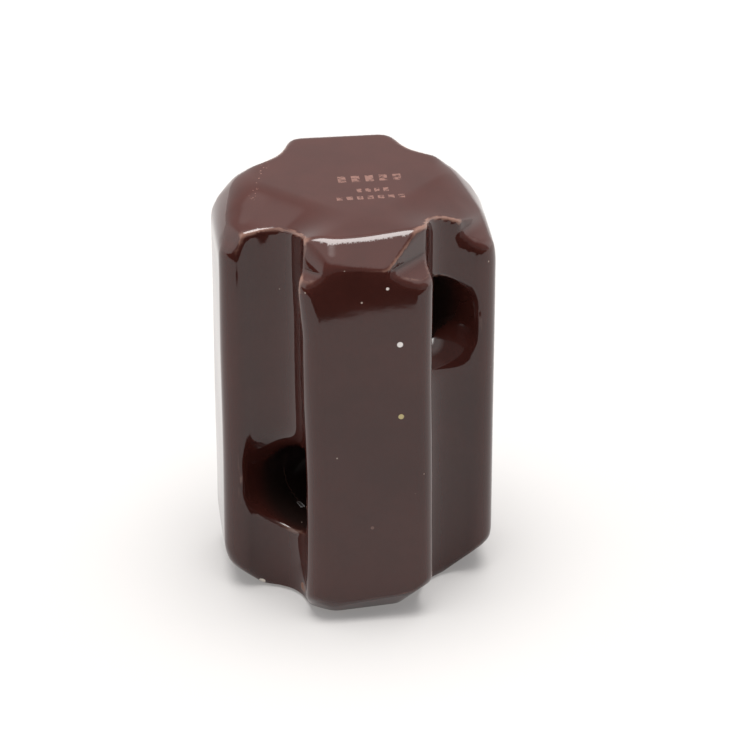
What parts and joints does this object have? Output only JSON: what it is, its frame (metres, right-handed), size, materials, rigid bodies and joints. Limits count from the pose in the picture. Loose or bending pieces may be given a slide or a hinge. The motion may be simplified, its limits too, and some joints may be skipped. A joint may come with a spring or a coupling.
{
  "type": "guy strain insulator",
  "caption": "Glazed porcelain guy strain insulator: a lobed block with crossed guy holes and lengthwise guy channels.",
  "frame": {"origin": "middle of the bare fired end, on the block's long axis", "axes": "+Z along the block to the glazed end, X along the upper guy hole, Y along the lower guy hole, lobes on the diagonals"},
  "size_m": [0.0672, 0.0672, 0.108],
  "materials": {
    "bare_porcelain": "fired, unglazed, fine-grained and matt",
    "brown_glaze": "dark red-brown feldspar glaze, high gloss, lighter where it thins at the edges"
  },
  "bodies": {
    "root": {"porcelain_body": "bare_porcelain", "glaze_coat": "brown_glaze"}
  },
  "joints": []
}
